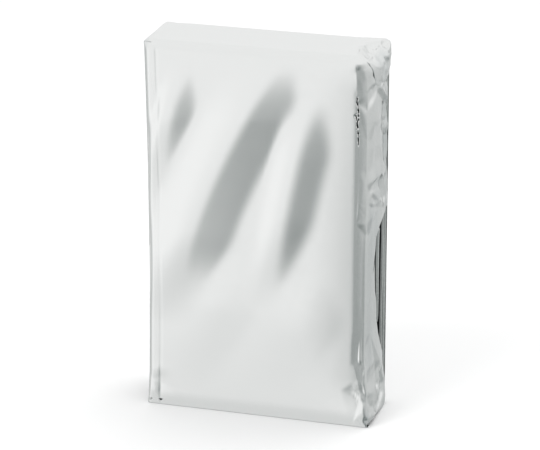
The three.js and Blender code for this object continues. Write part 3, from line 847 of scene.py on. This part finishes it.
def ply_ends(step, strays):
    """Where the plies of one place on the strip end or turn: right, left, right, left, right."""
    depth, y, z = step["depth"], step["y"], step["z"]
    low = min(int(depth), LAYERS - 2)
    share = depth - low
    rows = EDGES[low], EDGES[low + 1]
    left, right, wander = (mix(rows[0][key], rows[1][key], share) for key in rows[0])
    phases = mix(strays[low], strays[low + 1], share)
    stray = STRAY_MIDDLE
    for wave in STRAY_WAVES:
        stray = stray + wave["share"] * np.sin(z / wave["length"] + wave["phase"] * phases)
    margin_end = FRONT + column(FRONT_MARGIN, "height", "reach", z)
    outside = smooth(y - HALF - margin_end - PAST_MARGIN) if depth >= 1 else 0.0
    if step["v"] is not None and step["v"] > BACK_START:
        outside = 1.0
    right_end = mix(UNDER_MARGIN, BARE_EDGE, outside) - right
    left_end = -RIGHT + left + (LEFT_INSET if step["v"] is not None else 0)
    at_right = np.arange(PLIES + 1) % 2 == 0
    inset = wander * stray + EDGE_INSET
    return np.where(at_right, right_end - inset, left_end + inset)


def ply_section(ends, first, puff):
    """Points (x, n) of the plies of one layer, back and forth, with n inwards. The plies are
    puffed up at each turn by the amounts in puff."""
    depths = np.linspace(first, HALF - PLY_INSET, PLIES)
    gap = (depths[1] - depths[0]) / 2
    swell = np.exp(-((PLY_STOPS / PUFF_REACH) ** 2))
    points = []
    for ply, n in enumerate(depths):
        way = -1 if ply % 2 == 0 else 1
        start, end = ends[ply] + way * gap, ends[ply + 1] - way * gap
        begun = n + swell * (puff[ply - 1] if ply else 0)
        ended = n - swell * (puff[ply] if ply < PLIES - 1 else 0)
        points += zip(start + way * PLY_STOPS, begun)
        points += list(zip(end - way * PLY_STOPS, ended))[::-1]
        if ply == PLIES - 1:
            continue
        for angle in (math.pi / 4, math.pi / 2, 3 * math.pi / 4):
            bulge = way * gap * math.sin(angle)
            rise = (gap + puff[ply]) * (1 - math.cos(angle)) - puff[ply]
            points.append((end + bulge, n + rise))
    return np.array(points)


def folded_plies(finish):
    """The plies inside: one strip of four plies, folded back and forth between the covers."""
    random = np.random.default_rng(STRAY_SEED)
    strays = random.uniform(0, 2 * math.pi, (LAYERS, PLIES + 1))
    by_ply = np.arange(PLIES - 1) * PUFF["by_ply"]
    rings = []
    for step in strip_path():
        y, z, v = step["y"], step["z"], step["v"]
        wave = np.sin(z / PUFF["length"] + step["depth"] * PUFF["by_layer"] + by_ply)
        puff = PUFF["middle"] + PUFF["swing"] * wave
        first = -HALF + (PLY_INSET if v is None else COVERED_INSET)
        section = ply_section(ply_ends(step, strays), first, puff)
        x, n = section[:, 0], section[:, 1]
        if v is not None:
            dent = np.minimum(relief(x, np.full(x.shape, v)), 0)
            n = n - dent * np.clip(DENT_SHARE - n / THICKNESS, 0, 1)
        rings.append(np.stack([x, y + n * step["in"][0], z + n * step["in"][1]], axis=-1))
    film = Film()
    film.patch(settle(slump(np.array(rings))))
    return film.make("folded_plies", FILM, finish)


def slump(points):
    """Bends the plies between the covers a little, as they bunch and slip in the pack."""
    x, y, z = (points[..., axis] for axis in range(3))
    inside = np.clip(1 - (y / BACK_Y) ** 2, 0, 1)
    upward = np.clip(1 - (z / (HEIGHT / 2) - 1) ** 4, 0, 1)
    lean = np.zeros(x.shape)
    for row in LEANS:
        lean += row["depth"] * np.sin(z / row["up"] + y / row["back"] + x / row["across"])
    bow = np.sin(x / BOW["across"] + z / BOW["up"]) * np.clip(1 - (x / BOW["reach"]) ** 2, 0, 1)
    points[..., 1] += inside * (lean * upward + BOW["depth"] * bow)
    # y is read from the points, so it is the leaning and bowed one from here on.
    sag = SAG["depth"] * np.sin(y / SAG["back"] + x / SAG["across"])
    points[..., 2] += inside * sag * upward
    return points


class Value:
    """An output of a shader node; Python's signs on it add the Math nodes."""

    def __init__(self, graph, socket):
        self.graph = graph
        self.socket = socket

    def math(self, operation, *values):
        inputs = {i: value for i, value in enumerate(values)}
        return self.graph.add("ShaderNodeMath", {"operation": operation}, inputs)

    def __add__(self, other):
        return self.math("ADD", self, other)

    def __sub__(self, other):
        return self.math("SUBTRACT", self, other)

    def __rsub__(self, other):
        return self.math("SUBTRACT", other, self)

    def __mul__(self, other):
        return self.math("MULTIPLY", self, other)

    __radd__ = __add__
    __rmul__ = __mul__

    def between(self, low, high):
        """0 below low, 1 above high and a soft step in between."""
        settings = {"interpolation_type": "SMOOTHSTEP"}
        inputs = {"Value": self, "From Min": low, "From Max": high}
        return self.graph.add("ShaderNodeMapRange", settings, inputs)


class Graph:
    """The shader nodes of one finish or of the surroundings."""

    def __init__(self, owner):
        owner.use_nodes = True
        self.tree = owner.node_tree
        self.tree.nodes.clear()

    def add(self, kind, settings=None, inputs=None, output=0):
        node = self.tree.nodes.new(kind)
        for name, value in (settings or {}).items():
            setattr(node, name, value)
        for name, value in (inputs or {}).items():
            if isinstance(value, Value):
                self.tree.links.new(value.socket, node.inputs[name])
            else:
                node.inputs[name].default_value = value
        return Value(self, node.outputs[output])

    def blend(self, share, first, second):
        """A colour between two others."""
        inputs = {0: share, 6: first, 7: second}
        return self.add("ShaderNodeMix", {"data_type": "RGBA"}, inputs, output=2)

    def split(self, vector):
        """The three parts of a vector."""
        first = self.add("ShaderNodeSeparateXYZ", inputs={"Vector": vector})
        return [Value(self, socket) for socket in first.socket.node.outputs]

    def end(self, kind, shader):
        """Gives the shader to the tree's output."""
        self.tree.links.new(shader.socket, self.tree.nodes.new(kind).inputs["Surface"])


def film_finish(name, pale, reflection_grey, gap_shade, crinkle):
    """Metallised film: a pale silver with soft slanting grey clouds, which are a painted
    reflection, and fine wrinkles. Further in than the folded edges at the sides, it has its
    gap colour instead, which is painted shade of the gaps between the plies."""
    material = bpy.data.materials.new(name)
    graph = Graph(material)
    where = graph.add("ShaderNodeTexCoord", output=3)
    slant = graph.add(
        "ShaderNodeMapping",
        inputs={"Vector": where, "Rotation": (0, REFLECTION_BANDS["slant"], 0), "Scale": REFLECTION_BANDS["scale"]},
    )
    painted_bands = graph.add(
        "ShaderNodeTexNoise",
        {"noise_dimensions": "3D"},
        {"Vector": slant, "Scale": 1.0, "Detail": 2.0, "Roughness": 0.45},
    )
    # The slanting grey clouds in the base colour are a painted reflection of the studio's darker
    # parts in the wavy film.
    silver_and_painted_bands = graph.blend(painted_bands.between(*REFLECTION_BANDS["edge"]), pale, reflection_grey)
    wrinkles = graph.add(
        "ShaderNodeTexNoise",
        inputs={"Vector": where, "Scale": WRINKLES["scale"], "Detail": 3.0, "Roughness": 0.55},
    )
    facets = graph.add(
        "ShaderNodeTexVoronoi",
        {"feature": "DISTANCE_TO_EDGE"},
        {"Vector": where, "Scale": FINE_FACETS["scale"], "Randomness": 1.0},
    )
    facets = facets.between(*FINE_FACETS["edge"])
    across = graph.split(where)[0]
    bumpy = across.between(BUMPY_FROM * MM, BUMPY_TO * MM)
    # Painted shade: further in than the folded edges, the base colour turns to the dark gap colour,
    # which stands for the shade between the plies.
    gap_shade_share = 1 - across.math("ABSOLUTE", across).between(GAP_SHADE_FROM * MM, GAP_SHADE_TO * MM)
    height = (wrinkles * WRINKLES["share"] + facets * FINE_FACETS["share"]) * bumpy
    bump = graph.add(
        "ShaderNodeBump",
        inputs={"Strength": crinkle, "Distance": BUMP_DEPTH * MM, "Height": height},
    )
    surface = graph.add(
        "ShaderNodeBsdfPrincipled",
        inputs={
            "Base Color": graph.blend(gap_shade_share, silver_and_painted_bands, gap_shade),
            "Metallic": METAL,
            "Roughness": GLOSS["least"] + wrinkles * GLOSS["spread"],
            "Normal": bump,
        },
    )
    graph.end("ShaderNodeOutputMaterial", surface)
    return material


def surroundings():
    """A soft white studio that the film mirrors: bright above and in front to the left, and
    greyer to the right and behind."""
    world = bpy.data.worlds.new("studio")
    bpy.context.scene.world = world
    graph = Graph(world)
    way = graph.add("ShaderNodeTexCoord")
    x, y, z = graph.split(way)
    around = x.math("ARCTAN2", x, y * -1)
    key = around.between(*KEY_LIGHT["starts"]) * (1 - around.between(*KEY_LIGHT["ends"]))
    rear = around.math("ABSOLUTE", around).between(*REAR_LIGHT["angle"])
    left = (x * -1).between(*LEFT_REAR_LIGHT["left"])
    left_rear = left * y.between(*LEFT_REAR_LIGHT["y"])
    shade = 1 - z.between(*FLOOR_SHADE["z"])
    low = LOW_LIGHT + key * KEY_LIGHT["light"] + rear * REAR_LIGHT["light"]
    low = low + left_rear * LEFT_REAR_LIGHT["light"] - shade * FLOOR_SHADE["light"]
    light = low + (HIGH_LIGHT["light"] - low) * z.between(*HIGH_LIGHT["z"])
    colour = graph.blend(light, STUDIO_DARK, STUDIO_WHITE)
    shine = graph.add("ShaderNodeBackground", inputs={"Color": colour, "Strength": 1.0})
    graph.end("ShaderNodeOutputWorld", shine)


def floor():
    """A plain pale floor, which the film doesn't mirror."""
    bpy.ops.mesh.primitive_plane_add(size=FLOOR_SIZE)
    plane = bpy.context.object
    plane.name = "pale_floor"
    material = bpy.data.materials.new("pale floor")
    graph = Graph(material)
    inputs = {"Base Color": FLOOR_WHITE, "Roughness": 0.9}
    graph.end("ShaderNodeOutputMaterial", graph.add("ShaderNodeBsdfPrincipled", inputs=inputs))
    plane.data.materials.append(material)
    plane.visible_glossy = False


def lamp(name, place, size, power):
    """A soft lamp that faces the pack."""
    light = bpy.data.lights.new(name, "AREA")
    light.shape = "DISK"
    light.size = size
    light.energy = power
    holder = bpy.data.objects.new(name, light)
    bpy.context.collection.objects.link(holder)
    holder.visible_glossy = False
    holder.location = place
    way = Vector(LAMP_AIM) - Vector(place)
    holder.rotation_euler = way.to_track_quat("-Z", "Y").to_euler()


def camera():
    """The photograph's view: from 16 degrees to the right and 20 above."""
    turn_right, above, away = math.radians(16.2), math.radians(20.0), 1.504
    target = Vector((0.0016, 0, 0.0998))
    level = math.cos(above)
    back = Vector((math.sin(turn_right) * level, -math.cos(turn_right) * level, math.sin(above)))
    data = bpy.data.cameras.new("view")
    data.sensor_width = 36
    data.lens = 193.5
    data.clip_start = 0.05
    holder = bpy.data.objects.new("view", data)
    bpy.context.collection.objects.link(holder)
    holder.location = target + back * away
    holder.rotation_euler = (-back).to_track_quat("-Z", "Y").to_euler()
    bpy.context.scene.camera = holder


camera()
surroundings()
floor()
lamp("key", place=(-0.7, -1.1, 1.5), size=0.9, power=9)
lamp("top", place=(0.3, 0.5, 1.6), size=1.0, power=6)
bpy.context.scene.view_settings.view_transform = "Standard"

cover = cover_film(film_finish("cover film", PALE, REFLECTION_GREY, gap_shade=PALE, crinkle=0.1))
# The plies inside get a darker copy of the film's colours, as painted shade.
shaded_ply_finish = film_finish("ply film", SHADED_PLY_PALE, SHADED_PLY_REFLECTION_GREY, gap_shade=PAINTED_GAP_SHADE, crinkle=0.15)
plies = folded_plies(shaded_ply_finish)
for piece in (cover, plies):
    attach(piece, "root")
    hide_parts(NODE)
